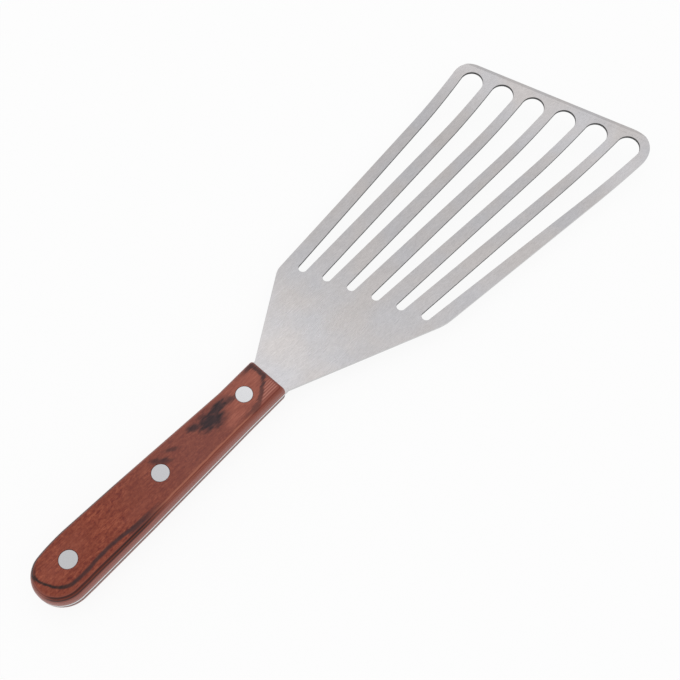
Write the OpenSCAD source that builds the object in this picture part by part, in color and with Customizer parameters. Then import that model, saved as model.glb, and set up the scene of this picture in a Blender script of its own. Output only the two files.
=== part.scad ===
// Fish spatula: a slotted steel blade with an upturned tip and a full tang,
// held between two wooden handle scales by three flush cutler's rivets.
// It lies face up, with the handle's flat underside on the ground.
// Every outline is drawn with x running forward from the butt of the handle
// and y to the left, and place() then centres the finished object.

/* [Steel sheet] */
// Thickness of the sheet that blade and tang are cut from
sheet_t = 1.2; // [0.8:0.1:2]
// Length of the blade on the handle's axis, from the handle to the front edge
blade_l = 208.3; // [150:0.1:260]
// Width of the blade across its shoulders, measured 60 mm in front of the handle
shoulder_w = 75; // [60:0.5:100]
// Angle by which each long side leans outward
side_flare = 6.1; // [0:0.1:9]
// Slant of the front edge
front_slant = 13.6; // [0:0.1:20]
// Distance from the handle to the left shoulder
left_shoulder_x = 40; // [30:0.5:55]
// Distance from the handle to the right shoulder
right_shoulder_x = 70.4; // [50:0.5:85]
// Corner radius of the left shoulder
left_shoulder_r = 9; // [2:0.5:20]
// Corner radius of the right shoulder
right_shoulder_r = 25; // [5:0.5:35]
// Corner radius at the left of the front edge
left_tip_r = 9.5; // [6:0.5:14]
// Corner radius at the right of the front edge
right_tip_r = 12; // [8:0.5:16]

/* [Upturned tip] */
// Length over which the blade curls up, measured back from the front edge
curl_l = 47.5; // [25:0.5:80]
// Radius of the curl on the upper surface
curl_r = 176; // [120:1:400]
// Width of the bevel ground on the front edge
bevel_w = 1.6; // [0.8:0.1:3]
// Thickness left at the ground edge
edge_t = 0.4; // [0.2:0.1:0.6]

/* [Slots] */
// Number of slots in the fan
slot_count = 6; // [3:1:7]
// Radius of the narrow end of a slot, nearest the handle
slot_rear_r = 2.05; // [1.5:0.05:2.5]
// Width of steel left between two wide ends
bar_w = 5.1; // [3:0.1:7]
// Width of steel left beside the outer slots at their narrow ends
side_bar_rear_w = 6.7; // [4:0.1:9]
// Width of steel left beside the outer slots at their wide ends
side_bar_front_w = 5.2; // [4:0.1:8]
// Distance from the handle to the line of the narrow ends, on the axis
slot_rear_x = 57.7; // [50:0.1:80]
// Slant of the line of the narrow ends
slot_rear_slant = 18.4; // [0:0.1:25]
// Width of steel left between the wide ends and the front edge
rim_w = 4.8; // [4:0.1:8]

/* [Handle] */
// Length of the handle, from the butt to where the blade starts to flare
handle_l = 125.1; // [100:0.1:155]
// Bare steel between the scales and the flare
neck_l = 1.5; // [0.5:0.1:5]
// Thickness of one scale
scale_t = 6.4; // [5:0.1:9]
// Width of the handle at the rear rivet
butt_w = 24.3; // [22:0.1:27]
// Straight stretch across the end of the butt, between its round corners
butt_flat_w = 1; // [0.5:0.1:4]
// Distance from the butt to the grip
grip_x = 46.4; // [40:0.1:60]
// Width of the handle at the grip
grip_w = 23.2; // [21:0.1:28]
// Distance from the waist to the front end
waist_inset = 22; // [20:0.1:35]
// Width of the handle at the waist
waist_w = 19.8; // [18:0.1:24]
// Width of the handle at its front end
front_w = 20.1; // [18:0.1:24]
// How far left of the rivets the handle's centre line runs, from butt to waist
handle_y = -0.5; // [-1:0.1:1]
// Corner radius of the front end, seen from above
front_r = 1.2; // [0.5:0.1:2]
// How far the rolled edges run in over the face of a scale
edge_roll = 2.9; // [1.5:0.1:3.5]

/* [Rivets] */
// Distance from the butt to the rear rivet
rear_rivet_x = 16.4; // [14:0.1:20]
// Distance from the front end to the front rivet
front_rivet_inset = 15.9; // [10:0.1:20]
// Diameter of a rivet head
head_d = 7.5; // [6:0.1:9]
// Thickness of a rivet head
head_t = 1.3; // [0.8:0.1:2]
// Chamfer round the face of a head
head_chamfer = 0.2; // [0.1:0.05:0.4]
// Diameter of the barrel of the female half
barrel_d = 5; // [4.4:0.1:5.6]
// Diameter of the shank of the male half
shank_d = 3.4; // [2.5:0.1:3.6]
// Radial clearance round a head, a barrel and a shank
rivet_fit = 0.05; // [0.02:0.01:0.1]
// Gap left between the parts of a closed rivet at its blind ends
rivet_end_gap = 0.3; // [0.1:0.1:1]

/* [Hidden] */

$fn = 96;

steel = [0.74, 0.74, 0.75];
wood = [0.52, 0.27, 0.20];
rivet_metal = [0.80, 0.80, 0.82];

// Heights, counted from the underside of the handle
sheet_z = scale_t;
sheet_top = sheet_z + sheet_t;
handle_top = sheet_top + scale_t;

// Shoulder width is stated this far in front of the handle
shoulder_station = 60;
// The front edge crosses the handle's axis here
front_x = handle_l + blade_l;
// Slope of the sheet where the curl meets the front edge, and its rise there
tip_slope = asin(curl_l / curl_r);
tip_rise = curl_r * (1 - cos(tip_slope));

// Cutting tools reach this far past what they cut
reach = 10;
// Slices that describe the rolled edge of a scale
roll_steps = 10;
// Thickness of one such slice
slice_t = 0.01;
// Fragments of the round corners inside a scale's hull
corner_fn = 40;
// Largest turn between two points of an outline's arcs
arc_step = 5;
// The front half of a scale starts this far inside the rear half
scale_lap = 6;

waist_x = handle_l - waist_inset;
// The middle rivet sits halfway between the other two
rivet_pitch = (handle_l - front_rivet_inset - rear_rivet_x) / 2;
function rivet_x(i) = rear_rivet_x + i * rivet_pitch;

// Corner radius of the butt
butt_r = (butt_w - butt_flat_w) / 2;

// Half width of the blade between its long sides, at x
function side_y(x) = shoulder_w / 2 + (x - handle_l - shoulder_station) * tan(side_flare);
// Where a side of the blade meets the slanted front edge; side is 1 at left, -1 at right
function tip_corner(side) =
    let (y0 = side * side_y(front_x),
         lean = side * tan(side_flare),
         y = y0 / (1 + lean * tan(front_slant)))
    [front_x - y * tan(front_slant), y];

// Outline points of the steel as [x, y, corner radius], counter-clockwise from the butt
right_shoulder = [handle_l + right_shoulder_x, -side_y(handle_l + right_shoulder_x)];
left_shoulder = [handle_l + left_shoulder_x, side_y(handle_l + left_shoulder_x)];
outline = [
    [0, handle_y - butt_w / 2, butt_r],
    [rear_rivet_x, handle_y - butt_w / 2, 0],
    [grip_x, handle_y - grip_w / 2, 0],
    [waist_x, handle_y - waist_w / 2, 0],
    [handle_l, -front_w / 2, 0],
    [right_shoulder.x, right_shoulder.y, right_shoulder_r],
    [tip_corner(-1).x, tip_corner(-1).y, right_tip_r],
    [tip_corner(1).x, tip_corner(1).y, left_tip_r],
    [left_shoulder.x, left_shoulder.y, left_shoulder_r],
    [handle_l, front_w / 2, 0],
    [waist_x, handle_y + waist_w / 2, 0],
    [grip_x, handle_y + grip_w / 2, 0],
    [rear_rivet_x, handle_y + butt_w / 2, 0],
    [0, handle_y + butt_w / 2, butt_r]
];

function unit(v) = v / norm(v);
function xy(p) = [p.x, p.y];
// Point i of a closed outline, with its neighbours wrapped round
function wrap(pts, i) = pts[(i + len(pts)) % len(pts)];
// Directions from a corner towards its two neighbours
function to_last(pts, i) = unit(xy(wrap(pts, i - 1)) - xy(pts[i]));
function to_next(pts, i) = unit(xy(wrap(pts, i + 1)) - xy(pts[i]));
function half_angle(pts, i) = acos(to_last(pts, i) * to_next(pts, i)) / 2;
function round_centre(pts, i) =
    xy(pts[i]) + unit(to_last(pts, i) + to_next(pts, i)) * pts[i][2] / sin(half_angle(pts, i));

function heading(v) = atan2(v.y, v.x);
// Points along an arc, from one heading to another
function arc(centre, r, from, to) =
    let (n = max(1, ceil(abs(to - from) / arc_step)))
    [for (k = [0:n])
        let (a = from + (to - from) * k / n)
        centre + r * [cos(a), sin(a)]];
// A corner of a counter-clockwise outline: its arc, or the bare point where its radius is 0
function corner_points(pts, i) =
    let (from = heading(-to_last(pts, i)) - 90)
    pts[i][2] == 0
        ? [xy(pts[i])]
        : arc(round_centre(pts, i), pts[i][2], from, from + 180 - 2 * half_angle(pts, i));

// The finished object is centred on the box round its outline
right_tip_centre = round_centre(outline, 6);
left_tip_centre = round_centre(outline, 7);
mid_x = (right_tip_centre.x + right_tip_r) / 2;
mid_y = (left_tip_centre.y + left_tip_r + right_tip_centre.y - right_tip_r) / 2;

module place() {
    translate([-mid_x, -mid_y, 0]) children();
}

// A closed outline with its corners rounded
module rounded_outline(pts) {
    polygon([for (i = [0:len(pts) - 1]) each corner_points(pts, i)]);
}

// The slots' ends lie on two slanted lines, evenly spaced between the outer bars.
// A line crosses the handle's axis at x and has the given slant; margin is kept from each side.
function line_lean(slant) = tan(side_flare) * tan(slant);
function line_left_y(x, slant, margin) = (side_y(x) - margin) / (1 + line_lean(slant));
function line_right_y(x, slant, margin) = -(side_y(x) - margin) / (1 - line_lean(slant));
function line_point(x, slant, margin, i) =
    let (left = line_left_y(x, slant, margin),
         right = line_right_y(x, slant, margin),
         y = left + (right - left) * i / (slot_count - 1))
    [x - y * tan(slant), y];

// Radius of the wide ends: what the bars leave of the width, shared among the slots
function wide_r(x) =
    let (share = 1 - pow(line_lean(front_slant), 2),
         gaps = slot_count - 1)
    (2 * (side_y(x) - side_bar_front_w) / share - gaps * bar_w) / (2 * gaps + 2 / share);
slot_front_r = wide_r(front_x - rim_w / cos(front_slant));
slot_front_x = front_x - (rim_w + slot_front_r) / cos(front_slant);

// Ends of slot i, counted from the left, as [x, y]
function slot_rear(i) =
    line_point(handle_l + slot_rear_x, slot_rear_slant, side_bar_rear_w + slot_rear_r, i);
function slot_front(i) =
    line_point(slot_front_x, front_slant, side_bar_front_w + slot_front_r, i);

// One tapered slot: two round ends joined by their common tangents
module slot(a, ra, b, rb) {
    along = heading(b - a);
    lean = asin((rb - ra) / norm(b - a));
    polygon(concat(arc(a, ra, along + 90 + lean, along + 270 - lean),
                   arc(b, rb, along - 90 - lean, along + 90 + lean)));
}

module blade_plan() {
    difference() {
        rounded_outline(outline);
        for (i = [0:slot_count - 1])
            slot(slot_rear(i), slot_rear_r, slot_front(i), slot_front_r);
        for (i = [0:2])
            translate([rivet_x(i), 0]) circle(barrel_d / 2 + rivet_fit);
    }
}

// Puts children on the front edge: x points forward across it, y runs along it
module at_front_edge() {
    translate([front_x, 0, 0]) rotate([0, 0, front_slant]) children();
}

// The sheet before it is cut to its outline: flat, then curled up at a steady radius
module bent_sheet() {
    wide = 2 * blade_l;
    at_front_edge() {
        translate([-curl_l - 2 * front_x, -wide / 2, sheet_z])
            cube([2 * front_x, wide, sheet_t]);
        translate([-curl_l, 0, sheet_top + curl_r])
            rotate([90, 0, 0]) rotate([0, 0, -90])
                rotate_extrude(angle = asin((curl_l + reach) / curl_r), $fn = 720)
                    translate([curl_r, -wide / 2]) square([sheet_t, wide]);
    }
}

// Takes the wedge off the upper side that leaves the ground bevel
module bevel_cutter() {
    fall = (sheet_t - edge_t) / bevel_w;
    wide = 2 * blade_l;
    at_front_edge()
        translate([0, wide / 2, sheet_top + tip_rise]) rotate([0, -tip_slope, 0])
            rotate([90, 0, 0]) linear_extrude(wide)
                polygon([[-bevel_w - reach / 2, fall * reach / 2],
                         [reach, -fall * (bevel_w + reach)],
                         [reach, reach],
                         [-bevel_w - reach / 2, reach]]);
}

// Blade and tang, cut from one sheet
module blade() {
    color(steel) place() difference() {
        intersection() {
            translate([0, 0, sheet_z - reach])
                linear_extrude(sheet_t + tip_rise + 2 * reach) blade_plan();
            bent_sheet();
        }
        bevel_cutter();
    }
}

// Inset and height of the rolled edge at slice k: a quarter of an ellipse
function roll_in(k) = edge_roll * (1 - cos(90 * k / roll_steps));
function roll_h(k) = scale_t * sin(90 * k / roll_steps);

// A thin bar across the handle, one station of its outline
module station(x, w, k) {
    translate([x - slice_t, handle_y - (w / 2 - roll_in(k)), roll_h(k) - slice_t])
        cube([slice_t, w - 2 * roll_in(k), slice_t]);
}

// A scale lying with its flat inner side down, before its holes
module scale_body() {
    intersection() {
        union() {
            hull() for (k = [0:roll_steps]) {
                for (side = [-1, 1])
                    translate([butt_r, handle_y + side * butt_flat_w / 2, roll_h(k) - slice_t])
                        cylinder(r = butt_r - roll_in(k), h = slice_t, $fn = corner_fn);
                station(rear_rivet_x, butt_w, k);
                station(grip_x, grip_w, k);
                station(waist_x, waist_w, k);
            }
            hull() for (k = [0:roll_steps]) {
                station(waist_x - scale_lap, waist_w, k);
                for (side = [-1, 1])
                    translate([handle_l - neck_l - front_r - roll_in(k),
                               side * (front_w / 2 - front_r - roll_in(k)),
                               roll_h(k) - slice_t])
                        cylinder(r = front_r, h = slice_t, $fn = corner_fn);
            }
        }
        translate([-reach, -butt_w, 0])
            cube([handle_l + 2 * reach, 2 * butt_w, scale_t - slice_t / 2]);
    }
}

// Holes of a scale: a bore for each barrel, and a seat for each head
module scale_holes() {
    for (i = [0:2]) translate([rivet_x(i), 0, 0]) {
        translate([0, 0, -reach])
            cylinder(d = barrel_d + 2 * rivet_fit, h = scale_t + 2 * reach);
        translate([0, 0, scale_t - head_t])
            cylinder(d = head_d + 2 * rivet_fit, h = reach);
    }
}

module scale_half() {
    difference() {
        scale_body();
        scale_holes();
    }
}

module upper_scale() {
    color(wood) place() translate([0, 0, sheet_top]) scale_half();
}

module lower_scale() {
    color(wood) place() translate([0, 0, sheet_z]) mirror([0, 0, 1]) scale_half();
}

// Face of a head, drawn as half a section that ends at height z
function head_section(z) = [
    [head_d / 2, z - head_t],
    [head_d / 2, z - head_chamfer],
    [head_d / 2 - head_chamfer, z],
    [0, z]
];

// Male half: a head on the upper face with a plain shank below it
module rivet_male(i) {
    color(rivet_metal) place() translate([rivet_x(i), 0, 0])
        rotate_extrude() polygon(concat(
            [[0, head_t + 2 * rivet_end_gap], [shank_d / 2, head_t + 2 * rivet_end_gap],
             [shank_d / 2, handle_top - head_t]],
            head_section(handle_top)));
}

// Female half: a head on the lower face with a barrel that takes the shank
module rivet_female(i) {
    bore_r = shank_d / 2 + rivet_fit;
    color(rivet_metal) place()
        translate([rivet_x(i), 0, handle_top]) mirror([0, 0, 1])
            rotate_extrude() polygon(concat(
                [[0, handle_top - head_t - rivet_end_gap],
                 [bore_r, handle_top - head_t - rivet_end_gap],
                 [bore_r, head_t + rivet_end_gap],
                 [barrel_d / 2, head_t + rivet_end_gap],
                 [barrel_d / 2, handle_top - head_t]],
                head_section(handle_top)));
}

module rear_rivet_male() rivet_male(0);
module rear_rivet_female() rivet_female(0);
module middle_rivet_male() rivet_male(1);
module middle_rivet_female() rivet_female(1);
module front_rivet_male() rivet_male(2);
module front_rivet_female() rivet_female(2);

blade();
upper_scale();
lower_scale();
rear_rivet_male();
rear_rivet_female();
middle_rivet_male();
middle_rivet_female();
front_rivet_male();
front_rivet_female();
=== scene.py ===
"""Looks of a fish spatula: a slotted steel blade between two riveted wooden scales.

Sizes are in millimetres, counted the way the frame is drawn: x runs forward from the butt of the
handle, y to the left of the row of rivets, and z up from the underside of the handle.
"""
import logging
import math
from collections.abc import Callable
from dataclasses import dataclass
from enum import Enum

import bpy
from mathutils import Matrix, Vector


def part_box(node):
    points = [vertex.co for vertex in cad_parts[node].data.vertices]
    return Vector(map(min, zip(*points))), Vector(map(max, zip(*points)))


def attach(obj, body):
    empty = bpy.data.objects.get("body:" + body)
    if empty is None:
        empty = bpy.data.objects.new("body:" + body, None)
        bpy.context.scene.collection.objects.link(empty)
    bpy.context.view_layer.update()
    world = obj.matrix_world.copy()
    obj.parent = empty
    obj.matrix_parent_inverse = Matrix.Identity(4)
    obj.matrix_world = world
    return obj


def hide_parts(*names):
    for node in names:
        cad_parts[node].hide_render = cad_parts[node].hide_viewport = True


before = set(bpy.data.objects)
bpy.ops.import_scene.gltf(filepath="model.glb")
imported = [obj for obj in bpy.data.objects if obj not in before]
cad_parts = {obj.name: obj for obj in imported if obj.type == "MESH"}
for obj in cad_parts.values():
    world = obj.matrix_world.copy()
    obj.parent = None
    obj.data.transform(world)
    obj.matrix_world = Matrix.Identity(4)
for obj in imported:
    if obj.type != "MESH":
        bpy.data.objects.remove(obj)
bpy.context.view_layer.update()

BODY = "root"
ROWS = ("rear", "middle", "front")
MM = 0.001
# The butt and the rivets in the frame, and the rivets' distances from the butt in millimetres
BUTT_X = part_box("blade")[0].x
RIVET_BOXES = [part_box(f"{row}_rivet_male") for row in ROWS]
RIVET_Y = (RIVET_BOXES[0][0].y + RIVET_BOXES[0][1].y) / 2
RIVETS = [((lo.x + hi.x) / 2 - BUTT_X) / MM for lo, hi in RIVET_BOXES]
UP = Vector((0, 0, 1))
# Places nearer than this are the same, in millimetres
NEAR = 0.002
# Points nearer than this are merged, in metres
MERGE = 1e-7
# Sides of a round tool, and segments across a rounded edge
ROUND = 64
EDGE_STEPS = 2
# Thickness of a rivet's head, and depth of its seat
HEAD_T = 1.3
# White that the polish on the wood returns, and the least that is left of a colour without it
SHEEN = 0.028
DARKEST = 0.003
# The curve that a screen's colours follow
SCREEN_OFFSET = 0.055
SCREEN_POWER = 2.4
# A noise texture has most of its values between these
NOISE_LOW = 0.3
NOISE_HIGH = 0.7

log = logging.getLogger("fish_spatula")
logging.basicConfig(level=logging.INFO, format="%(message)s")

Point = tuple[float, float]
Triple = tuple[float, float, float]
Corner = Triple
Colour = Triple
Piece = bpy.types.Object
Material = bpy.types.Material
Test = Callable[[bpy.types.bpy_struct], bool]


def polished(red: int, green: int, blue: int) -> Colour:
    """A colour as seen on a screen, made linear, less the white that the polish on it returns."""
    screen = [(level / 255 + SCREEN_OFFSET) / (1 + SCREEN_OFFSET) for level in (red, green, blue)]
    return tuple(max(level ** SCREEN_POWER - SHEEN, DARKEST) for level in screen)


class Half(Enum):
    """The two sides of the handle: the value is the way each one faces along z."""

    UPPER = 1
    LOWER = -1


class Slot(Enum):
    """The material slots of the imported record."""

    STEEL = "steel"
    WOOD = "wood"
    RIVET = "rivet"


def place(x: float, y: float, z: float) -> Vector:
    """Turns a place in millimetres into metres in the frame."""
    return Vector((BUTT_X + x * MM, RIVET_Y + y * MM, z * MM))


def clear() -> None:
    """Leaves edit mode and deselects every object."""
    if bpy.context.object and bpy.context.object.mode != "OBJECT":
        bpy.ops.object.mode_set(mode="OBJECT")
    bpy.ops.object.select_all(action="DESELECT")


def take(*pieces: Piece) -> None:
    """Selects objects alone and makes the first one active.

    Args:
        pieces: The objects.
    """
    clear()
    for piece in pieces:
        piece.select_set(True)
    bpy.context.view_layer.objects.active = pieces[0]


def settle(name: str) -> Piece:
    """Names the active object and moves its place into its mesh.

    Args:
        name: The piece's name.

    Returns:
        The object, at the origin, unturned and unscaled.
    """
    piece = bpy.context.object
    piece.name = piece.data.name = name
    bpy.ops.object.transform_apply(location=True, rotation=True, scale=True)
    return piece


def pick(piece: Piece, mode: str, test: Test) -> None:
    """Selects the vertices, edges or faces that pass a test, and stays in edit mode.

    Args:
        piece: The object to select in.
        mode: VERT, EDGE or FACE.
        test: Called with each mesh element; true selects it.
    """
    take(piece)
    bpy.ops.object.mode_set(mode="EDIT")
    bpy.ops.mesh.select_mode(type=mode)
    bpy.ops.mesh.select_all(action="DESELECT")
    bpy.ops.object.mode_set(mode="OBJECT")
    mesh = piece.data
    kind = {"VERT": mesh.vertices, "EDGE": mesh.edges, "FACE": mesh.polygons}[mode]
    for part in kind:
        part.select = bool(test(part))
    bpy.ops.object.mode_set(mode="EDIT")


def pick_all(piece: Piece) -> None:
    """Selects all of an object, and stays in edit mode."""
    pick(piece, "VERT", lambda point: True)


def close_up() -> None:
    """Merges doubled points, drops loose ones, turns faces outwards and leaves edit mode."""
    bpy.ops.mesh.select_all(action="SELECT")
    bpy.ops.mesh.remove_doubles(threshold=MERGE)
    bpy.ops.mesh.delete_loose()
    bpy.ops.mesh.select_all(action="SELECT")
    bpy.ops.mesh.normals_make_consistent(inside=False)
    bpy.ops.object.mode_set(mode="OBJECT")


def trace(name: str, points: list[Vector]) -> Piece:
    """Draws a closed outline point by point and fills it.

    Args:
        name: The piece's name.
        points: The outline's points, in the frame.

    Returns:
        An object with one face.
    """
    clear()
    bpy.ops.mesh.primitive_plane_add(size=MM, location=points[0])
    piece = settle(name)
    pick_all(piece)
    bpy.ops.mesh.merge(type="CENTER")
    for last, point in zip(points, points[1:]):
        bpy.ops.mesh.extrude_vertices_move(TRANSFORM_OT_translate={"value": point - last})
    bpy.ops.mesh.select_all(action="SELECT")
    bpy.ops.mesh.edge_face_add()
    bpy.ops.object.mode_set(mode="OBJECT")
    return piece


def outline(name: str, corners: list[Corner], z: float, steps: int) -> Piece:
    """Draws a flat outline whose corners are rounded.

    Args:
        name: The piece's name.
        corners: The outline as (x, y, corner radius), in millimetres.
        z: Height of the outline, in millimetres.
        steps: Segments of each round corner.

    Returns:
        An object with one face.
    """
    spots = [place(x, y, z) for x, y, _ in corners]
    piece = trace(name, spots)
    for i, (_, _, radius) in enumerate(corners):
        if radius:
            back = (spots[i - 1] - spots[i]).normalized()
            ahead = (spots[(i + 1) % len(spots)] - spots[i]).normalized()
            tangent = radius * MM / math.tan(back.angle(ahead) / 2)
            nearest = min(piece.data.vertices, key=lambda v: (v.co - spots[i]).length).index
            pick(piece, "VERT", lambda v: v.index == nearest)
            bpy.ops.mesh.bevel(offset=tangent, segments=steps, affect="VERTICES")
            bpy.ops.object.mode_set(mode="OBJECT")
    return piece


def bare(piece: Piece) -> None:
    """Takes the face out of an outline and leaves its edges, in edit mode."""
    pick_all(piece)
    bpy.ops.mesh.delete(type="ONLY_FACE")


def bridge(piece: Piece, heights: list[float]) -> None:
    """Bridges level rings in turn and closes both ends.

    Args:
        piece: The object that holds the bare rings.
        heights: Height of each ring, in millimetres.
    """
    def on(edge: bpy.types.MeshEdge, levels: tuple[float, ...]) -> bool:
        """Tells whether both ends of an edge lie at one of the levels."""
        spots = [piece.data.vertices[end].co.z / MM for end in edge.vertices]
        return all(any(abs(z - level) < NEAR for level in levels) for z in spots)

    for pair in zip(heights, heights[1:]):
        pick(piece, "EDGE", lambda edge: on(edge, pair))
        bpy.ops.mesh.bridge_edge_loops()
    for end in (heights[0], heights[-1]):
        pick(piece, "EDGE", lambda edge: on(edge, (end,)))
        bpy.ops.mesh.edge_face_add()
    close_up()


def post(spot: Point, radius: float, low: float, high: float) -> Piece:
    """Stands an upright cylinder, to cut with.

    Args:
        spot: The x and y of its middle.
        radius: Its radius.
        low: Height of its lower end.
        high: Height of its upper end.

    Returns:
        The cylinder.
    """
    clear()
    middle = place(*spot, (low + high) / 2)
    bpy.ops.mesh.primitive_cylinder_add(vertices=ROUND, radius=radius * MM,
                                        depth=(high - low) * MM, location=middle)
    return settle("post")


def join(pieces: list[Piece]) -> Piece:
    """Joins several objects into the first one.

    Args:
        pieces: The objects.

    Returns:
        The first object, which now holds them all.
    """
    take(*pieces)
    bpy.ops.object.join()
    return pieces[0]


def cut(piece: Piece, tool: Piece, operation: str) -> None:
    """Applies a boolean with another object and removes that object.

    Args:
        piece: The object to cut.
        tool: The cutting object, deleted afterwards.
        operation: DIFFERENCE or INTERSECT.
    """
    take(piece)
    boolean = piece.modifiers.new("cut", "BOOLEAN")
    boolean.operation = operation
    boolean.solver = "EXACT"
    boolean.object = tool
    boolean.material_mode = "TRANSFER"
    bpy.ops.object.modifier_apply(modifier=boolean.name)
    take(tool)
    bpy.ops.object.delete()


def drill(piece: Piece, diameter: float, low: float, high: float) -> None:
    """Drills a round hole at every rivet, between two heights."""
    posts = [post((x, 0), diameter / 2, low, high) for x in RIVETS]
    cut(piece, join(posts), "DIFFERENCE")


def dress(piece: Piece, finish: Material, test: Test = lambda face: True) -> None:
    """Gives a finish to the faces that pass a test, or to all of them.

    Args:
        piece: The object to dress.
        finish: Its new material.
        test: Called with each face; true dresses it.
    """
    piece.data.materials.append(finish)
    for face in piece.data.polygons:
        if test(face):
            face.material_index = len(piece.data.materials) - 1


def finish_edges(piece: Piece, width: float, sharp: float) -> None:
    """Rounds the sharp edges a little and shades the piece smooth.

    Args:
        piece: The object to finish.
        width: Width of the round, in millimetres.
        sharp: Edges that turn more than this many degrees are rounded.
    """
    take(piece)
    bevel = piece.modifiers.new("edge", "BEVEL")
    bevel.width = width * MM
    bevel.segments = EDGE_STEPS
    bevel.limit_method = "ANGLE"
    bevel.angle_limit = math.radians(sharp)
    bevel.use_clamp_overlap = False
    bpy.ops.object.modifier_apply(modifier=bevel.name)
    bpy.ops.object.shade_smooth_by_angle(angle=math.radians(sharp))
    weighted = piece.modifiers.new("normals", "WEIGHTED_NORMAL")
    weighted.keep_sharp = True
    bpy.ops.object.modifier_apply(modifier=weighted.name)


@dataclass(frozen=True)
class Patch:
    """An oval stretch of a surface with a strength from 0 to 1, in millimetres and degrees."""

    x: float
    y: float
    length: float
    width: float
    turn: float
    strength: float

    # A patch reaches this far up and down
    TALL = 1000.0


@dataclass(frozen=True)
class Field:
    """A number, place, colour or shader that varies over a surface: the output of a node."""

    socket: bpy.types.NodeSocket

    # A patch of a cloud fades out between these shares of its size, and joins the next one softly
    RIM_IN = 0.3
    RIM_OUT = 1.35
    JOIN = 0.15

    def make(self, kind: str, inputs: dict[str | int, "Input"], output: str | int = 0,
             **settings: str) -> "Field":
        """Adds a node to the tree that this output lies in, as wire does."""
        return wire(self.socket.id_data, kind, inputs, output, **settings)

    def math(self, operation: str, *others: "Input") -> "Field":
        """Adds a Math node that works on this number and the others."""
        return self.make("Math", dict(enumerate((self, *others))), operation=operation)

    def __add__(self, other: "Input") -> "Field":
        """Adds a number."""
        return self.math("ADD", other)

    def __sub__(self, other: "Input") -> "Field":
        """Takes a number away."""
        return self.math("SUBTRACT", other)

    def __rsub__(self, other: float) -> "Field":
        """Takes this away from a plain number."""
        return self * -1 + other

    def __mul__(self, other: "Input") -> "Field":
        """Multiplies by a number."""
        return self.math("MULTIPLY", other)

    def __abs__(self) -> "Field":
        """Drops the sign."""
        return self.math("ABSOLUTE")

    def split(self) -> list["Field"]:
        """The x, y and z of a place."""
        return [Field(output) for output in self.make("SeparateXYZ", {0: self}).socket.node.outputs]

    def mapped(self, scale: Triple, move: Triple = (0, 0, 0), turn: float = 0,
               kind: str = "POINT") -> "Field":
        """Scales a place, turns it about z by degrees and moves it; kind TEXTURE undoes that."""
        inputs = {"Vector": self, "Scale": scale, "Location": move, "Rotation": UP * math.radians(turn)}
        return self.make("Mapping", inputs, vector_type=kind)

    def noise(self, scale: Triple, detail: float, rough: float = 0.5, distort: float = 0,
              move: Triple = (0, 0, 0), turn: float = 0) -> "Field":
        """A noise at this place, mapped by scale, move and turn; about 0.5 on average."""
        inputs = {"Scale": 1, "Detail": detail, "Roughness": rough, "Distortion": distort}
        return self.make("TexNoise", {"Vector": self.mapped(scale, move, turn), **inputs})

    def remap(self, low: "Input", high: "Input", to_low: float = 0, to_high: float = 1,
              kind: str = "LINEAR") -> "Field":
        """Maps the range from low to high to another one, clamped at both ends."""
        inputs = dict(enumerate((self, low, high, to_low, to_high)))
        return self.make("MapRange", inputs, interpolation_type=kind)

    def spread(self, reach: float) -> "Field":
        """Turns a noise into a change of up to reach either way."""
        return self.remap(NOISE_LOW, NOISE_HIGH, -reach, reach)

    def curve(self, points: tuple[Point, ...], reach: float) -> "Field":
        """Looks a number up on a curve through given points.

        Args:
            points: The curve's points.
            reach: The largest number that the curve covers, counted from 0.

        Returns:
            The curve's height there.
        """
        low = min(height for _, height in points)
        span = max(height for _, height in points) - low
        found = self.make("FloatCurve", {"Value": self * (1 / reach)})
        mapping = found.socket.node.mapping
        spots = mapping.curves[0].points
        while len(spots) < len(points):
            spots.new(0.5, 0.5)
        for spot, (at, height) in zip(spots, points):
            spot.location = (at / reach, (height - low) / span)
        mapping.update()
        return found * span + low

    def cloud(self, patches: tuple[Patch, ...], torn: "Field", fray: float) -> "Field":
        """Joins oval patches around this place into one cloud with torn edges.

        Args:
            patches: The ovals.
            torn: Noise that frays the rims.
            fray: How far the noise moves a rim, as a share of the oval's size.

        Returns:
            The cloud's strength, from 0 to 1.
        """
        total = 0.0
        frayed = torn.spread(fray / 2)
        for patch in patches:
            size = (patch.length / 2, patch.width / 2, Patch.TALL)
            inside = self.mapped(size, (patch.x, patch.y, 0), patch.turn, "TEXTURE")
            rim = self.make("VectorMath", {0: inside}, "Value", operation="LENGTH") + frayed
            part = rim.remap(self.RIM_IN, self.RIM_OUT, patch.strength, 0, "SMOOTHSTEP")
            total = part.math("SMOOTH_MAX", total, self.JOIN)
        return total

    def ramp(self, *stops: tuple[float, Colour]) -> "Field":
        """Turns a number into a colour.

        Args:
            stops: Numbers from 0 to 1, each with its linear colour.

        Returns:
            The colour.
        """
        found = self.make("ValToRGB", {0: self})
        elements = found.socket.node.color_ramp.elements
        while len(elements) < len(stops):
            elements.new(1)
        for element, (at, colour) in zip(elements, stops):
            element.position = at
            element.color = (*colour, 1)
        return found

    def mix(self, first: "Input", second: "Input") -> "Field":
        """Mixes two colours: the first one where this number is 0, the second where it is 1."""
        return self.make("Mix", {0: self, 6: first, 7: second}, 2, data_type="RGBA")

    def scaled(self, by: "Field") -> "Field":
        """Multiplies a colour by a number."""
        return self.make("VectorMath", {"Vector": self, "Scale": by}, operation="SCALE")


Input = Field | float | Triple


def feed(socket: bpy.types.NodeSocket, value: Input) -> None:
    """Links a node's input to an output, or sets it to a plain number, place or colour.

    Args:
        socket: The input.
        value: What it takes.
    """
    if isinstance(value, Field):
        socket.id_data.links.new(value.socket, socket)
    else:
        socket.default_value = (*value, 1) if socket.type == "RGBA" else value


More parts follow.
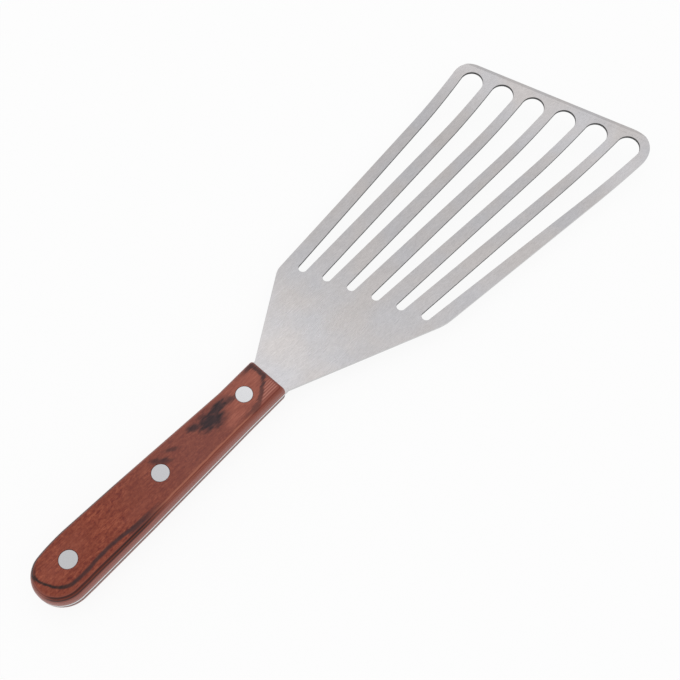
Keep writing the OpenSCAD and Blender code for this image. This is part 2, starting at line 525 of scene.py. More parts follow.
def wire(tree: bpy.types.NodeTree, kind: str, inputs: dict[str | int, Input],
         output: str | int = 0, **settings: str) -> Field:
    """Adds a node.

    Args:
        tree: The node tree of a material or the world.
        kind: The node's type, without the word ShaderNode before it.
        inputs: What each input takes, by its name or place.
        output: The output that is used, by its name or place.
        settings: The node's own properties.

    Returns:
        That output.
    """
    node = tree.nodes.new("ShaderNode" + kind)
    for key, value in settings.items():
        setattr(node, key, value)
    for key, value in inputs.items():
        feed(node.inputs[key], value)
    return Field(node.outputs[output])


class Shader:
    """One material: its Principled shader, and the place that its finish varies by."""

    def __init__(self, name: str) -> None:
        """Starts a material.

        Args:
            name: The material's name.
        """
        self.material = bpy.data.materials.new(name)
        self.material.use_nodes = True
        self.tree = self.material.node_tree
        self.principled = self.tree.nodes["Principled BSDF"]
        corner = (-BUTT_X / MM, -RIVET_Y / MM, 0)
        self.surface = wire(self.tree, "TexCoord", {}, "Object").mapped((1 / MM,) * 3, corner)

    def bump(self, height: Field, depth: float, strength: float) -> None:
        """Tilts the surface by a height, where depth is in millimetres."""
        made = height.make("Bump", {"Strength": strength, "Distance": depth * MM, "Height": height})
        feed(self.principled.inputs["Normal"], made)

    def finish(self, inputs: dict[str, Input]) -> Material:
        """Feeds the Principled shader.

        Args:
            inputs: What each of its inputs takes, by name.

        Returns:
            The material.
        """
        for name, value in inputs.items():
            feed(self.principled.inputs[name], value)
        return self.material


def tinted(shade: float, tint: Colour) -> Colour:
    """A grey with a tint."""
    return tuple(shade * share for share in tint)


@dataclass(frozen=True)
class SatinSteel:
    """Finely brushed stainless sheet, with faint polishing marks and a few scuffs."""

    shade: float = 0.50
    roughness: float = 0.28
    warm: Colour = (1.035, 0.985, 0.975)
    cool: Colour = (1.0, 0.985, 1.015)
    scuff_light: float = 0.09
    scuffs: tuple[Patch, ...] = (
        Patch(192.5, 21.6, 2.6, 1.1, -20, 1.0), Patch(202.2, 10.6, 2.4, 1.0, 35, 1.0),
        Patch(150.5, 3.0, 9.0, 1.2, -38, 0.5), Patch(143.0, 6.5, 7.0, 1.0, -50, 0.5))

    def material(self) -> Material:
        """Builds the sheet's finish.

        Returns:
            The material.
        """
        shader = Shader("satin_steel")
        surface = shader.surface
        clouds = surface.noise((0.05, 0.08, 0.08), 3, 0.55, turn=20)
        rubbed = surface.noise((0.12, 0.34, 0.34), 3, 0.55, 1.2, (5, 9, 0), -32)
        tint = surface.noise((0.05, 0.05, 0.05), 2, move=(7, 3, 0))
        brushing = surface.noise((0.25, 2.2, 2.2), 4, 0.8)
        grain = surface.noise((0.55, 1.5, 1.5), 3, 0.75, turn=8)
        level = clouds.spread(0.02) + rubbed.remap(0.4, 0.7, -0.008, 0.03)
        level = level + grain.spread(0.08) + brushing.spread(0.035)
        level = level + surface.cloud(self.scuffs, rubbed, 0.5) * self.scuff_light
        warm, cool = (tinted(self.shade, shares) for shares in (self.warm, self.cool))
        colour = tint.remap(0.35, 0.65).mix(warm, cool).scaled(level + 1)
        shader.bump(brushing + grain * 0.6, 0.01, 0.15)
        return shader.finish({"Base Color": colour, "Metallic": 1,
                              "Roughness": brushing.spread(0.025) + self.roughness})


@dataclass(frozen=True)
class StreakedSteel:
    """Steel with streaks along one direction, from a darker tint to a lighter one."""

    name: str
    shade: float
    roughness: float
    streaks: Triple
    dark: Colour
    light: Colour
    turn: float = 0
    detail: float = 3
    rough: float = 0.6
    depth: float = 0.02
    relief: float = 0.3

    def material(self) -> Material:
        """Builds the finish.

        Returns:
            The material.
        """
        shader = Shader(self.name)
        marks = shader.surface.noise(self.streaks, self.detail, self.rough, turn=self.turn)
        dark, light = (tinted(self.shade, shares) for shares in (self.dark, self.light))
        shader.bump(marks, self.depth, self.relief)
        return shader.finish({"Base Color": marks.ramp((NOISE_LOW, dark), (NOISE_HIGH, light)),
                              "Metallic": 1, "Roughness": self.roughness})


# Slot walls: their near-black colour is painted shade, standing in for the dark that the walls reflect
SLOT_WALL_PAINTED_SHADE = StreakedSteel("slot_wall_painted_shade", 0.08, 0.5, (6, 6, 0.8), (0.7,) * 3, (1.3,) * 3)
# Ground front band: its grinding streaks are real; its colour, far darker than the sheet's, is painted
# shade
GROUND_EDGE_WITH_PAINTED_SHADE = StreakedSteel("ground_edge_with_painted_shade", 0.23, 0.3, (3.5, 0.6, 3.5), (0.85,) * 3, (1.15,) * 3)
POLISHED_EDGE = StreakedSteel("polished_edge", 0.60, 0.2, (0.7, 0.7, 5), (0.94,) * 3, (1.06,) * 3)
RIVET_STEEL = StreakedSteel("rivet_steel", 0.58, 0.28, (1.2, 3.0, 3.0), (0.95, 0.96, 0.99),
                            (1.04, 1.04, 1.06), turn=35, detail=4, rough=0.65, depth=0.008)


@dataclass(frozen=True)
class Figure:
    """Where the dark veneer shows on one scale, and the colour next to the tang: the veneer's own on the
    upper scale, painted shade on the lower one.
    """

    ring: tuple[Point, ...]
    ring_fade: Point
    clouds: tuple[Patch, ...]
    glows: tuple[Patch, ...]
    seam: Colour
    seam_from: float
    seed: float


UPPER_FIGURE = Figure(
    ring=((0, 2.0), (4, 2.1), (6.5, 2.4), (9, 2.15), (12, 1.45), (16, 1.1), (22, 1.6), (28, 1.75),
          (33, 1.5), (37, 1.15), (41, 0.5), (50, 0.25), (60, 0.0), (107, 0.0), (110, 0.15), (126, 0.1)),
    ring_fade=(44, 58),
    clouds=(Patch(85.0, 4.2, 7.5, 4.0, -15, 0.9), Patch(91.8, 1.4, 15, 9.5, -12, 1.0),
            Patch(97.2, 3.6, 14, 5.4, 3, 1.0), Patch(103.2, 2.6, 9.5, 3.4, -8, 0.8),
            Patch(66.2, 3.5, 10.0, 3.2, -40, 0.75), Patch(72.2, 4.0, 8.5, 2.0, -31, 0.6)),
    glows=(Patch(109, 0.5, 28, 18, 0, 0.8), Patch(100.5, -4.8, 15, 5.5, 8, 0.9),
           Patch(116.5, 2.6, 10, 10, 0, 0.9), Patch(14, 2, 30, 13, 10, 0.3), Patch(46, -5, 20, 5, 0, 0.25)),
    seam=polished(166, 109, 100),
    seam_from=0.4,
    seed=0)

LOWER_FIGURE = Figure(
    ring=((0, 1.4), (9, 1.2), (20, 0.5), (32, 1.1), (45, 1.9), (58, 1.2), (70, 0.3), (90, -0.2),
          (126, -0.2)),
    ring_fade=(70, 88),
    clouds=(Patch(36, -2.5, 19, 6, 12, 0.9), Patch(45, -4.2, 10, 3.6, -20, 0.8),
            Patch(86, 4.5, 11, 2.6, -14, 0.6)),
    glows=(Patch(20, 1, 26, 15, 0, 0.6), Patch(96, -3, 30, 7, 5, 0.7)),
    # Painted shade: the lower scale's veneer beside the tang is made dark, where it lies in shade under the
    # tang
    seam=polished(92, 66, 62),
    seam_from=0.8,
    seed=37)

FIGURES = {Half.UPPER: UPPER_FIGURE, Half.LOWER: LOWER_FIGURE}


class LaminatedWood:
    """Resin-filled red-brown veneers, pressed in layers, rolled over at the edges and polished.

    A veneer surfaces as a ring that follows the outline, at the same distance inward everywhere but
    at the near front corner, where the face is sanded a little lower.
    """

    ROUGHNESS = 0.38
    GLOSS = 0.3
    SANDED_AT = 120.3
    SANDED_TURN = math.radians(35)
    SANDED_IN = 0.6
    RING_REACH = 126
    RING_SHARE = 0.95
    # Strength of the painted highlight along the near edge of the face
    RIDGE_HIGHLIGHT_SHARE = 0.85
    GLOW_SHARE = 0.75
    SEAM_BLEND = 0.08

    # Colours of the open veneer, its pores and its lit patches
    OPEN = (polished(110, 52, 42), polished(144, 75, 60), polished(172, 98, 76))
    OPEN_DULL = polished(126, 66, 54)
    OPEN_FRONT = polished(134, 88, 82)
    PORE = polished(84, 40, 34)
    LIT = (polished(160, 92, 78), polished(196, 122, 104))
    STRIPES = (polished(148, 88, 78), polished(192, 130, 116))
    # Colour of the painted highlight along the near edge of the face
    RIDGE_HIGHLIGHT = polished(190, 124, 102)
    # Colours of the dark veneer, and of its narrow part round the butt
    CHAR = (polished(42, 44, 53), polished(74, 62, 64))
    CHAR_BUTT = polished(34, 18, 18)
    # Colours of the layers along the edge
    RED = polished(154, 91, 79)
    BROWN = polished(118, 62, 43)
    BLACK = polished(48, 20, 10)
    SHEETS = polished(116, 58, 50)
    FAINT = (polished(116, 60, 50), polished(158, 94, 80), polished(128, 70, 58), polished(156, 96, 84))

    def __init__(self, scale: "Scale") -> None:
        """Finds where a place lies on the scale, and makes the noises that tear its figure.

        Here x counts from the butt, near towards the camera's side, depth down from the face and
        inward from the edge. front is 1 on the front end, and seat is moved by the figure's seed.

        Args:
            scale: The scale that is dressed.
        """
        side = scale.half.value
        self.scale = scale
        self.figure = FIGURES[scale.half]
        self.shader = Shader(f"laminated_wood_{scale.half.name.lower()}")
        self.x, y, z = self.shader.surface.split()
        self.near = y * -side
        self.depth = (scale.height(math.pi / 2) - z) * side
        sanded = (self.x - self.SANDED_AT) * -math.sin(self.SANDED_TURN)
        sanded = sanded + self.near * -math.cos(self.SANDED_TURN) + self.SANDED_IN
        flat = (self.edge_distance(y) - scale.edge_roll).math("MAXIMUM", 0)
        self.inward = (flat - self.depth).math("SMOOTH_MIN", sanded, 1.2)
        self.front = (self.x - self.near.remap(-5, 5, 113, 101)).remap(0, 6)
        self.seat = self.shader.surface.mapped((1, 1, 1), (self.figure.seed, self.figure.seed / 2, 0))
        self.fibres = self.seat.noise((0.2, 2.4, 2.4), 5, 0.65, turn=2)
        self.torn = self.seat.noise((0.3, 0.8, 0.5), 4, 0.6, turn=-24)
        self.wander = self.seat.noise((0.11, 0.2, 0.15), 3, 0.55)

    def edge_distance(self, y: Field) -> Field:
        """Distance in from the handle's outline.

        Args:
            y: Distance to the left of the rivets.

        Returns:
            The distance, in millimetres.
        """
        x, plan = self.x, self.scale.blade
        stations = [*plan.stations, (self.scale.front_x, plan.front_w)]
        half_width = plan.butt_w / 2
        for (last_x, last_w), (next_x, next_w) in zip(stations, stations[1:]):
            half_width = x.remap(last_x, next_x, 0, (next_w - last_w) / 2) + half_width
        offset = y - x.remap(plan.waist[0], plan.handle_l, plan.handle_y, 0)
        left = offset.math("GREATER_THAN", 0)
        right_r, left_r = (plan.butt_corner(side)[2] for side in (-1, 1))
        butt_r = left * (left_r - right_r) + right_r
        behind = (x - butt_r).math("MINIMUM", 0)
        beside = (abs(offset) - plan.butt_flat_w / 2).math("MAXIMUM", 0)
        reach = (behind * behind + beside * beside).math("SQRT")
        lean = left * x.remap(0, plan.rear_rivet_x, plan.butt_lean, 0)
        side = (butt_r - reach).math("MINIMUM", half_width - lean - abs(offset))
        return side.math("SMOOTH_MIN", self.scale.front_x - x, 2)

    def veneer(self) -> Field:
        """Mottles and streaks the veneer that lies open on the face.

        Returns:
            Its colour.
        """
        mottle = self.seat.noise((0.55, 0.9, 0.8), 4, 0.8, 0.4, (2, 8, 0), -12)
        broad = self.seat.noise((0.07, 0.14, 0.14), 3, 0.6, move=(3, 5, 0))
        grain = (self.fibres * 0.3 + mottle * 0.7).remap(0.38, 0.62)
        colour = grain.ramp(*zip((0, 0.5, 1), self.OPEN))
        colour = broad.remap(0.4, 0.65, 0, 0.5).mix(colour, self.OPEN_DULL)
        return self.x.remap(35, 75, 0, 0.5).mix(colour, self.OPEN_FRONT)

    def stripes(self) -> Field:
        """Colour of the thin layers that the sanded corner cuts through at a slant."""
        wave = (self.near * 6 + self.wander * 5).math("SINE")
        return wave.remap(-0.7, 0.7).mix(*self.STRIPES)

    def layers(self) -> Field:
        """Stacks the veneers that the rolled edge cuts through.

        Returns:
            Their colour.
        """
        red, brown, black, seam = self.RED, self.BROWN, self.BLACK, self.figure.seam
        seam_at = self.figure.seam_from
        # Next to the tang comes the figure's seam colour, which is painted shade on the lower scale
        inner = ((seam_at, red), (seam_at + self.SEAM_BLEND, seam), (1, seam))
        drift = self.seat.noise((0.05, 0.12, 0.05), 2)
        level = (self.depth + drift.spread(0.12)) * (1 / self.scale.blade.sheet_z)
        strong = level.ramp((0, red), (0.065, red), (0.09, black), (0.16, black), (0.19, brown),
                            (0.24, brown), (0.27, black), (0.355, black), (0.39, red), *inner)
        weak = level.ramp((0, red), (0.08, red), (0.11, self.FAINT[0]), (0.16, red),
                          *zip((0.22, 0.26, 0.30), self.FAINT[1:]), *inner)
        faint = self.x.remap(2.5, 6, 1, 0).math("MINIMUM", self.near.remap(3.5, 6.5, 1, 0))
        colour = self.x.remap(*self.figure.ring_fade).math("MAXIMUM", faint).mix(strong, weak)
        sheets = self.seat.noise((0.015, 0.03, 2.4), 2)
        return sheets.remap(0.4, 0.65, 0, 0.5).mix(colour, self.SHEETS)

    def ridge(self) -> Field:
        """Draws a painted highlight: a light line where the face meets the rolled edge, on the near side
        only.

        Returns:
            Its strength, from 0 to 1.
        """
        off = abs(self.inward + self.wander.spread(0.15) + 0.4)
        shown = self.near.remap(0, 4) * self.x.remap(*self.figure.ring_fade)
        return off.remap(0.17, 0.34, 1, 0) * shown * self.x.remap(103, 112, 0.65, 0)

    def ring(self) -> Field:
        """Draws the dark ring that follows the outline.

        Returns:
            Its strength, from 0 to 1.
        """
        lean = self.near.remap(-9, 2.5, 3.9, 0) * self.x.remap(30, 90, 1, 0)
        level = self.x.curve(self.figure.ring, self.RING_REACH) - lean + self.wander.spread(0.2)
        away = abs(self.inward - level) + self.front * self.fibres.spread(0.7)
        ring = away.remap(self.x.remap(4, 10, 0.15, 0.45), self.x.remap(4, 10, 0.6, 1.2), 1, 0)
        rear = self.x.remap(*self.figure.ring_fade, 1, 0) * self.x.remap(6, 16, 1, 0.92)
        patchy = self.front * self.near.remap(1.5, 6, 0.9, 0.6)
        shown = rear.math("MAXIMUM", patchy) * self.torn.remap(0.25, 0.6, 0.78, 1)
        return ring * shown * self.inward.remap(-1.6, -0.9)

    def material(self) -> Material:
        """Builds the scale's finish.

        Returns:
            The material.
        """
        surface = self.shader.surface
        pores = self.seat.noise((0.6, 5.0, 5.0), 2, turn=3)
        glow = surface.cloud(self.figure.glows, self.torn, 0.5) * self.GLOW_SHARE
        lit = self.fibres.ramp(*zip((0.32, 0.68), self.LIT))
        colour = glow.mix(self.veneer(), lit)
        colour = pores.remap(0.58, 0.74, 0, 0.4).mix(colour, self.PORE)
        beyond = self.front * self.inward.remap(-0.9, -0.5, 1, 0) * self.near.remap(1, 4, 0, 0.85)
        colour = beyond.mix(colour, self.stripes())
        colour = self.depth.remap(0.02, 0.45).mix(colour, self.layers())
        # Painted highlight along the near edge of the face
        colour = (self.ridge() * self.RIDGE_HIGHLIGHT_SHARE).mix(colour, self.RIDGE_HIGHLIGHT)
        clouds = surface.cloud(self.figure.clouds, self.torn, 0.55)
        char = self.torn.ramp(*zip((NOISE_LOW, NOISE_HIGH), self.CHAR))
        char = self.x.remap(8, 15, 0.9, 0).mix(char, self.CHAR_BUTT)
        colour = (self.ring().math("MAXIMUM", clouds) * self.RING_SHARE).mix(colour, char)
        self.shader.bump(self.fibres - pores.remap(0.6, 0.74, 0, 0.8), 0.02, 0.35)
        return self.shader.finish({"Base Color": colour, "Roughness": self.ROUGHNESS,
                                   "Specular IOR Level": self.GLOSS})


@dataclass
class Blade:
    """The slotted blade with its tang, cut from one sheet and curled up at the front."""

    sheet_z: float = 6.4
    sheet_t: float = 1.2
    handle_l: float = 125.1
    blade_l: float = 208.3
    shoulder_w: float = 75
    shoulder_station: float = 60
    side_flare: float = 6.1
    front_slant: float = 13.6
    left_shoulder: Point = (40, 9)
    right_shoulder: Point = (70.4, 25)
    left_tip_r: float = 9.5
    right_tip_r: float = 12
    curl_l: float = 47.5
    curl_r: float = 176
    curl_steps: int = 28
    bevel_w: float = 2.2
    edge_t: float = 0.4
    slot_count: int = 6
    slot_rear_r: float = 2.05
    bar_w: float = 5.1
    side_bar_rear_w: float = 6.7
    side_bar_front_w: float = 5.2
    slot_rear_x: float = 57.7
    slot_rear_slant: float = 18.4
    rim_w: float = 4.8
    butt_w: float = 24.3
    butt_flat_w: float = 1
    butt_lean: float = 2.6
    lean_r: float = 70
    rear_rivet_x: float = 16.4
    grip: Point = (46.4, 23.2)
    waist: Point = (103.1, 19.8)
    front_w: float = 20.1
    handle_y: float = -0.5
    hole_d: float = 5.1
    edge_round: float = 0.12
    sharp: float = 20
    reach: float = 10
    corner_steps: int = 24

    # Faces that turn less than this from the ground face, as a cosine, belong to it
    FLATNESS = 0.9999

    @property
    def front_x(self) -> float:
        """Where the front edge crosses the row of rivets."""
        return self.handle_l + self.blade_l

    @property
    def tip_slope(self) -> float:
        """Slope of the sheet at the front edge, in radians."""
        return math.asin(self.curl_l / self.curl_r)

    @property
    def slant(self) -> float:
        """Slant of the front edge, in radians."""
        return math.radians(self.front_slant)

    @property
    def ahead(self) -> Vector:
        """The way that the front edge faces, seen from above."""
        return Vector((math.cos(self.slant), math.sin(self.slant), 0))

    @property
    def stations(self) -> list[Point]:
        """Where the handle's width changes behind its front end, as (x, width)."""
        return [(self.rear_rivet_x, self.butt_w), self.grip, self.waist]

    @property
    def wide_r(self) -> float:
        """Shares out among the slots what the bars leave of the width.

        Returns:
            Radius of the slots' wide ends.
        """
        share = 1 - (math.tan(math.radians(self.side_flare)) * math.tan(self.slant)) ** 2
        gaps = self.slot_count - 1
        room = 2 * (self.side_y(self.front_x - self.rim_w / math.cos(self.slant)) - self.side_bar_front_w)
        return (room / share - gaps * self.bar_w) / (2 * gaps + 2 / share)

    def side_y(self, x: float) -> float:
        """Half width of the blade between its long sides, at x."""
        ahead = x - self.handle_l - self.shoulder_station
        return self.shoulder_w / 2 + ahead * math.tan(math.radians(self.side_flare))

    def line_point(self, x: float, slant: float, margin: float, share: float) -> Point:
        """A point on a slanted line across the blade.

        Args:
            x: Where the line crosses the row of rivets.
            slant: The line's slant, in degrees.
            margin: Distance kept from each long side.
            share: 0 at the left end of the line and 1 at its right end.

        Returns:
            The point's x and y.
        """
        slope = math.tan(math.radians(slant))
        lean = math.tan(math.radians(self.side_flare)) * slope
        left = (self.side_y(x) - margin) / (1 + lean)
        right = -(self.side_y(x) - margin) / (1 - lean)
        y = left + (right - left) * share
        return (x - y * slope, y)

    def butt_corner(self, side: int, inset: float = 0) -> Corner:
        """The butt's corner on one side, where the left side leans in towards it.

        Args:
            side: 1 for left, -1 for right.
            inset: How far the outline is drawn in.

        Returns:
            The corner as (x, y, corner radius).
        """
        lean = self.butt_lean if side > 0 else 0
        slope = lean / self.rear_rivet_x
        length = math.hypot(1, slope)
        radius = ((self.butt_w - self.butt_flat_w) / 2 - lean) / (length - slope)
        aside = self.butt_w / 2 - lean - inset * (length - slope)
        return (inset, self.handle_y + side * aside, radius - inset)

    def grip_side(self, side: int, inset: float = 0) -> list[Corner]:
        """One side of the handle's outline, from the butt to the waist.

        Args:
            side: 1 for left, -1 for right.
            inset: How far the outline is drawn in.

        Returns:
            The corners as (x, y, corner radius).
        """
        bends = (self.lean_r - inset if side > 0 else 0, 0, 0)
        corners = [(x, self.handle_y + side * (w / 2 - inset), bend)
                   for (x, w), bend in zip(self.stations, bends)]
        return [self.butt_corner(side, inset), *corners]

    def corners(self) -> list[Corner]:
        """The outline of blade and tang, counter-clockwise.

        Returns:
            The corners as (x, y, corner radius).
        """
        right, left = self.grip_side(-1), self.grip_side(1)
        for half, side, shoulder, end, tip_r in ((right, -1, self.right_shoulder, 1, self.right_tip_r),
                                                 (left, 1, self.left_shoulder, 0, self.left_tip_r)):
            x = self.handle_l + shoulder[0]
            half += [(self.handle_l, side * self.front_w / 2, 0), (x, side * self.side_y(x), shoulder[1]),
                     (*self.line_point(self.front_x, self.front_slant, 0, end), tip_r)]
        return right + left[::-1]

    def slots(self) -> list[tuple[Point, Point]]:
        """Finds the slots, from the left.

        Returns:
            The centres of the narrow and the wide end of each slot.
        """
        rear_x = self.handle_l + self.slot_rear_x
        front_x = self.front_x - (self.rim_w + self.wide_r) / math.cos(self.slant)
        rear_in = self.side_bar_rear_w + self.slot_rear_r
        front_in = self.side_bar_front_w + self.wide_r
        shares = [i / (self.slot_count - 1) for i in range(self.slot_count)]
        return [(self.line_point(rear_x, self.slot_rear_slant, rear_in, share),
                 self.line_point(front_x, self.front_slant, front_in, share)) for share in shares]

    def ground(self) -> tuple[Vector, Vector]:
        """Finds the face that is ground on the front edge.

        Returns:
            A point on it and its outward normal.
        """
        rise = self.curl_r * (1 - math.cos(self.tip_slope))
        edge = place(self.front_x, 0, self.sheet_z + self.sheet_t + rise)
        along = self.ahead * math.cos(self.tip_slope) + UP * math.sin(self.tip_slope)
        out = UP * math.cos(self.tip_slope) - self.ahead * math.sin(self.tip_slope)
        fall = (self.sheet_t - self.edge_t) / self.bevel_w
        return edge - along * self.bevel_w * MM, (out + along * fall).normalized()

    def sheet(self) -> Piece:
        """Makes the bent sheet: its section spun round the curl and drawn back past the butt.

        Returns:
            The sheet, ground on its front edge.
        """
        start = place(self.front_x, 0, self.sheet_z + self.sheet_t / 2)
        start = start - self.ahead * self.curl_l * MM
        clear()
        bpy.ops.mesh.primitive_plane_add(size=1, location=start,
                                         rotation=(math.pi / 2, 0, self.slant + math.pi / 2))
        bpy.context.object.scale = (2 * self.blade_l * MM, self.sheet_t * MM, 1)
        piece = settle("blade_sheet")
        pick_all(piece)
        bpy.ops.mesh.spin(steps=self.curl_steps, angle=math.asin((self.curl_l + self.reach) / self.curl_r),
                          center=start + UP * (self.curl_r + self.sheet_t / 2) * MM,
                          axis=UP.cross(self.ahead))
        pick(piece, "FACE", lambda face: (face.center - start).length < NEAR * MM)
        bpy.ops.mesh.extrude_region_move(
            TRANSFORM_OT_translate={"value": -self.ahead * 2 * self.front_x * MM})
        bpy.ops.mesh.select_all(action="SELECT")
        spot, out = self.ground()
        bpy.ops.mesh.bisect(plane_co=spot, plane_no=out, use_fill=True, clear_outer=True)
        close_up()
        return piece

    def slot_tool(self, narrow: Point, wide: Point) -> Piece:
        """Makes the tool that cuts one tapered slot.

        Args:
            narrow: Centre of the narrow end.
            wide: Centre of the wide end.

        Returns:
            A tall prism with the slot's outline.
        """
        low, high = self.sheet_z - 1.5 * self.reach, self.sheet_z + 2.5 * self.reach
        piece = join([post(narrow, self.slot_rear_r, low, high),
                            post(wide, self.wide_r, low, high)])
        pick_all(piece)
        bpy.ops.mesh.convex_hull()
        bpy.ops.object.mode_set(mode="OBJECT")
        return piece

    def build(self) -> Piece:
        """Models the blade.

        Returns:
            The finished blade, dressed.
        """
        piece = self.sheet()
        _, out = self.ground()
        dress(piece, SatinSteel().material())
        # The ground face gets its grinding streaks and its darker painted shade
        dress(piece, GROUND_EDGE_WITH_PAINTED_SHADE.material(), lambda face: face.normal.dot(out) > self.FLATNESS)
        plan = outline("plan", self.corners(), self.sheet_z - self.reach, self.corner_steps)
        pick_all(plan)
        bpy.ops.mesh.extrude_region_move(TRANSFORM_OT_translate={"value": UP * 4 * self.reach * MM})
        close_up()
        dress(plan, POLISHED_EDGE.material())
        cut(piece, plan, "INTERSECT")
        slots = join([self.slot_tool(*ends) for ends in self.slots()])
        # The slot walls get the near-black painted shade
        dress(slots, SLOT_WALL_PAINTED_SHADE.material())
        cut(piece, slots, "DIFFERENCE")
        drill(piece, self.hole_d, self.sheet_z - self.reach, self.sheet_z + self.reach)
        piece.name = piece.data.name = "blade_and_tang"
        finish_edges(piece, self.edge_round, self.sharp)
        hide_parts("blade")
        return piece


@dataclass
class Scale:
    """One wooden half of the handle, with a rolled edge all round."""

    half: Half
    blade: Blade
    scale_t: float = 6.4
    neck_l: float = 1.5
    front_r: float = 1.2
    edge_roll: float = 2.9
    roll_steps: int = 18
    corner_steps: int = 16
    bore_d: float = 5.1
    seat_d: float = 7.6
    reach: float = 10
    edge_round: float = 0.1
    sharp: float = 50

    @property
    def seam_z(self) -> float:
        """Height of the flat face that lies on the tang."""
        return self.blade.sheet_z + (self.blade.sheet_t if self.half is Half.UPPER else 0)

    @property
    def front_x(self) -> float:
        """Where the scale ends, short of the tang's front end."""
        return self.blade.handle_l - self.neck_l

    def height(self, turn: float) -> float:
        """Height of the rolled edge where it has turned by an angle; a quarter turn is the face."""
        return self.seam_z + self.half.value * self.scale_t * math.sin(turn)

    def ring(self, turn: float) -> Piece:
        """Draws the bare outline where the rolled edge has turned by an angle.

        Args:
            turn: The angle, from 0 at the seam to a quarter turn at the face.

        Returns:
            A closed ring of edges.
        """
        inset = self.edge_roll * (1 - math.cos(turn))
        right, left = ([*self.blade.grip_side(side, inset),
                        (self.front_x - inset, side * (self.blade.front_w / 2 - inset), self.front_r)]
                       for side in (-1, 1))
        piece = outline("ring", right + left[::-1], self.height(turn), self.corner_steps)
        bare(piece)
        return piece

    def build(self) -> Piece:
        """Models the scale: rings up the rolled edge, bridged, closed, dressed and drilled.

        Returns:
            The finished scale.
        """
        turns = [math.pi / 2 * step / self.roll_steps for step in range(self.roll_steps + 1)]
        piece = join([self.ring(turn) for turn in turns])
        piece.name = piece.data.name = f"{self.half.name.lower()}_scale_wood"
        bridge(piece, [self.height(turn) for turn in turns])
        dress(piece, LaminatedWood(self).material())
        side, face_z = self.half.value, self.height(math.pi / 2)
        past = face_z + side * self.reach
        drill(piece, self.bore_d, *sorted((self.seam_z - side * self.reach, past)))
        drill(piece, self.seat_d, *sorted((face_z - side * HEAD_T, past)))
        finish_edges(piece, self.edge_round, self.sharp)
        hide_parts(f"{self.half.name.lower()}_scale")
        return piece


@dataclass
class Rivet:
    """One half of a cutler's rivet, turned from its section."""

    row: str
    half: Half
    x: float
    handle_top: float = 14.0
    head_d: float = 7.5
    head_chamfer: float = 0.2
    barrel_d: float = 5
    shank_d: float = 3.4
    fit: float = 0.05
    end_gap: float = 0.3
    turns: int = 64
    sharp: float = 30

    def section(self) -> list[Point]:
        """Draws the half section, for a head that faces up.

        Returns:
            Its points as (radius, height).
        """
        top, under = self.handle_top, self.handle_top - HEAD_T
        shank_r, barrel_r, head_r = (width / 2 for width in (self.shank_d, self.barrel_d, self.head_d))
        head = [(head_r, under), (head_r, top - self.head_chamfer), (head_r - self.head_chamfer, top),
                (0, top)]
        if self.half is Half.UPPER:
            foot = HEAD_T + 2 * self.end_gap
            return [(0, foot), (shank_r, foot), (shank_r, under), *head]
        bore_r, foot, deep = shank_r + self.fit, HEAD_T + self.end_gap, under - self.end_gap
        return [(0, deep), (bore_r, deep), (bore_r, foot), (barrel_r, foot), (barrel_r, under), *head]

    def build(self) -> Piece:
        """Models and dresses the half rivet.

        Returns:
            The finished half rivet.
        """
        sex, low = ("male", 0) if self.half is Half.UPPER else ("female", self.handle_top)
        points = [place(self.x + r, 0, low + self.half.value * z) for r, z in self.section()]
        piece = trace(f"{self.row}_rivet_{sex}_turned", points)
        bare(piece)
        bpy.ops.mesh.select_all(action="SELECT")
        bpy.ops.mesh.spin(steps=self.turns, angle=math.tau, center=place(self.x, 0, 0), axis=UP)
        close_up()
        dress(piece, RIVET_STEEL.material())
        bpy.ops.object.shade_smooth_by_angle(angle=math.radians(self.sharp))
        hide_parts(f"{self.row}_rivet_{sex}")
        return piece


@dataclass
class Camera:
    """The photographer's camera, placed from the rear rivet."""

    from_rivet: Triple = (-2.93, -126.2, 338.5)
    tilt: float = 28.25
    azimuth: float = 38.89
    roll: float = 3.69
    focal: float = 900.0
    frame_px: int = 680
    sensor: float = 36.0
    nudge_px: Point = (0.3, 0.1)
    clip: Point = (0.01, 20)

    def build(self) -> None:
        """Makes the camera and gives it to the scene."""
        tilt, azimuth, roll = (math.radians(angle) for angle in (self.tilt, self.azimuth, self.roll))
        level = Vector((math.cos(azimuth), math.sin(azimuth), 0))
        view = level * math.sin(tilt) - UP * math.cos(tilt)
        up = Matrix.Rotation(-roll, 3, view) @ (level * math.cos(tilt) + UP * math.sin(tilt))
        data = bpy.data.cameras.new("photo_camera")
        data.sensor_width = self.sensor
        data.lens = self.focal * self.sensor / self.frame_px
        right_px, down_px = self.nudge_px
        data.shift_x, data.shift_y = -right_px / self.frame_px, down_px / self.frame_px
        data.clip_start, data.clip_end = self.clip
        camera = bpy.data.objects.new("photo_camera", data)
        bpy.context.scene.collection.objects.link(camera)
        lo, hi = RIVET_BOXES[0]
        rivet = Vector(((lo.x + hi.x) / 2, (lo.y + hi.y) / 2, hi.z))
        axes = Matrix((view.cross(up), up, -view)).transposed().to_4x4()
        camera.matrix_world = Matrix.Translation(rivet + Vector(self.from_rivet) * MM) @ axes
        bpy.context.scene.camera = camera


@dataclass(frozen=True)
class Softbox:
    """A rectangular soft lamp that faces straight down, in metres, degrees and watts."""

    name: str
    spot: Triple
    size: Point
    turn: float
    power: float

    def build(self) -> None:
        """Hangs the lamp."""
        data = bpy.data.lights.new(self.name, "AREA")
        data.shape = "RECTANGLE"
        data.size, data.size_y = self.size
        data.energy = self.power
        lamp = bpy.data.objects.new(self.name, data)
        lamp.location = self.spot
        lamp.rotation_euler = UP * math.radians(self.turn)
        bpy.context.scene.collection.objects.link(lamp)


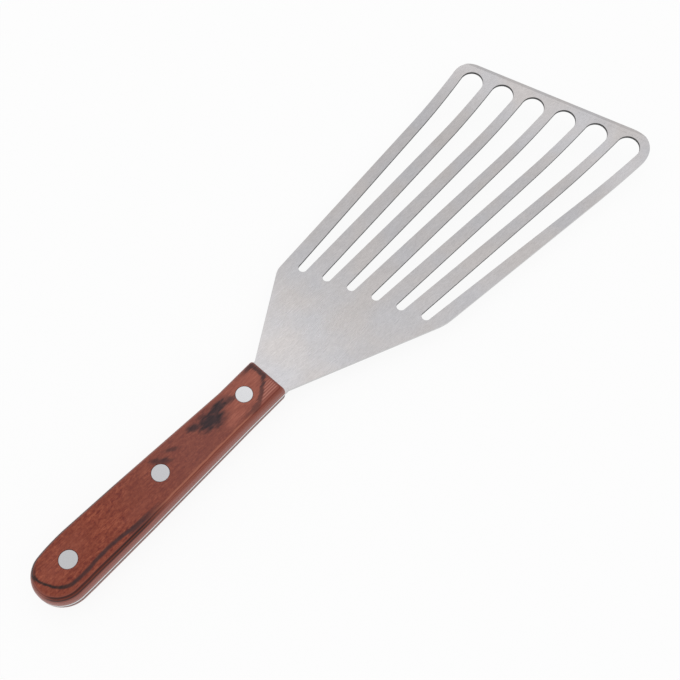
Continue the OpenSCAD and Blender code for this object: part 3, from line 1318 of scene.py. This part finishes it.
@dataclass
class Studio:
    """A pale floor, a white backdrop and soft light."""

    floor_size: float = 6.0
    floor_z: float = -0.0002
    floor_shade: float = 0.9
    floor_roughness: float = 0.9
    white_share: float = 0.9
    sky: float = 0.88
    softboxes: tuple[Softbox, ...] = (
        Softbox("near_softbox", (0.235, 0.41, 0.9), (0.17, 0.28), 0, 0.14),
        Softbox("far_softbox", (1.5, 0.35, 3.0), (1.9, 0.8), -20, 1.8))

    def floor(self) -> None:
        """Lays the floor under the handle, white to the eye and clear to an eye below it."""
        clear()
        bpy.ops.mesh.primitive_plane_add(size=self.floor_size, location=(0, 0, self.floor_z))
        floor = settle("studio_floor")
        shader = Shader("studio_floor")
        shader.finish({"Base Color": (self.floor_shade,) * 3, "Roughness": self.floor_roughness})
        eye, shine, through = (wire(shader.tree, "LightPath", {}, f"Is {ray} Ray")
                               for ray in ("Camera", "Glossy", "Transmission"))
        white = (eye + shine + through).math("MINIMUM", 1) * self.white_share
        glow = wire(shader.tree, "Emission", {"Strength": 1})
        lit = white.make("MixShader", {0: white, 1: Field(shader.principled.outputs[0]), 2: glow})
        below = wire(shader.tree, "NewGeometry", {}, "Backfacing") * eye
        hidden = wire(shader.tree, "BsdfTransparent", {})
        sided = below.make("MixShader", {0: below, 1: lit, 2: hidden})
        feed(shader.tree.nodes["Material Output"].inputs["Surface"], sided)
        dress(floor, shader.material)

    def world(self) -> None:
        """Makes the surroundings: white to the eye, softer as a light."""
        world = bpy.data.worlds.new("studio")
        bpy.context.scene.world = world
        world.use_nodes = True
        background = world.node_tree.nodes["Background"]
        eye = wire(world.node_tree, "LightPath", {}, "Is Camera Ray")
        feed(background.inputs["Color"], (1, 1, 1))
        feed(background.inputs["Strength"], eye.remap(0, 1, self.sky, 1))

    def build(self) -> None:
        """Builds the studio."""
        bpy.context.scene.view_settings.view_transform = "Standard"
        self.floor()
        self.world()
        for softbox in self.softboxes:
            softbox.build()


def main() -> None:
    """Builds the pieces in order and puts each on its body."""
    Camera().build()
    Studio().build()
    blade = Blade()
    pieces = [blade.build(), Scale(Half.UPPER, blade).build(), Scale(Half.LOWER, blade).build()]
    for row, x in zip(ROWS, RIVETS):
        pieces += [Rivet(row, half, x).build() for half in Half]
    for piece in pieces:
        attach(piece, BODY)
        log.info("%s: %d faces", piece.name, len(piece.data.polygons))


if __name__ == "__main__":
    main()
